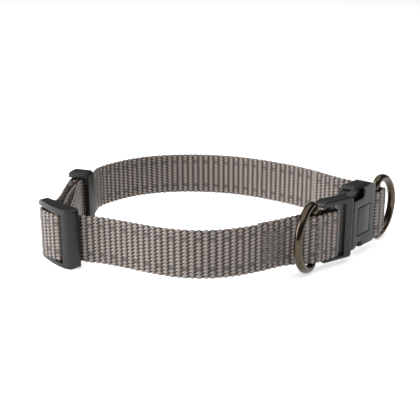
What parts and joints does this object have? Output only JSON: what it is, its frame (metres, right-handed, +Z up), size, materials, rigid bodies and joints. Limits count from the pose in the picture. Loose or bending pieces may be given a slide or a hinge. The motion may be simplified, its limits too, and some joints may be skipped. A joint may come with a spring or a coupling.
{
  "type": "dog collar",
  "caption": "Adjustable woven-webbing dog collar, buckled, standing on its edge as a closed loop, with a side-release buckle, slider, keeper and D-rings.",
  "frame": {"origin": "middle of the floor under the standing collar", "axes": "+X to the right of the pictured view, towards the buckle; +Y away from the viewer, towards the rear strap; +Z up, across the width of the webbing"},
  "size_m": [0.1568, 0.1164, 0.0318],
  "materials": {
    "webbing": "coarse woven polyester, warm grey, matte",
    "plastic": "charcoal acetal, fine mould texture, satin",
    "ring_metal": "gunmetal plated steel wire, polished"
  },
  "bodies": {
    "collar": {"front_strap": "webbing", "rear_strap": "webbing", "slider": "plastic", "keeper_loop": "plastic", "buckle_plug": "plastic", "buckle_socket": "plastic"},
    "front_ring": {"front_d_ring": "ring_metal"},
    "rear_ring": {"rear_d_ring": "ring_metal"}
  },
  "joints": [
    {"name": "front_ring_swing", "type": "hinge", "parent": "collar", "child": "front_ring", "pos_m": [0.03573, -0.04025, 0.015], "axis": [0, 0, 1], "range_deg": [-2, 78]},
    {"name": "rear_ring_swing", "type": "hinge", "parent": "collar", "child": "rear_ring", "pos_m": [0.06705, -0.00606, 0.015], "axis": [0, 0, 1], "range_deg": [-105, 38]}
  ]
}
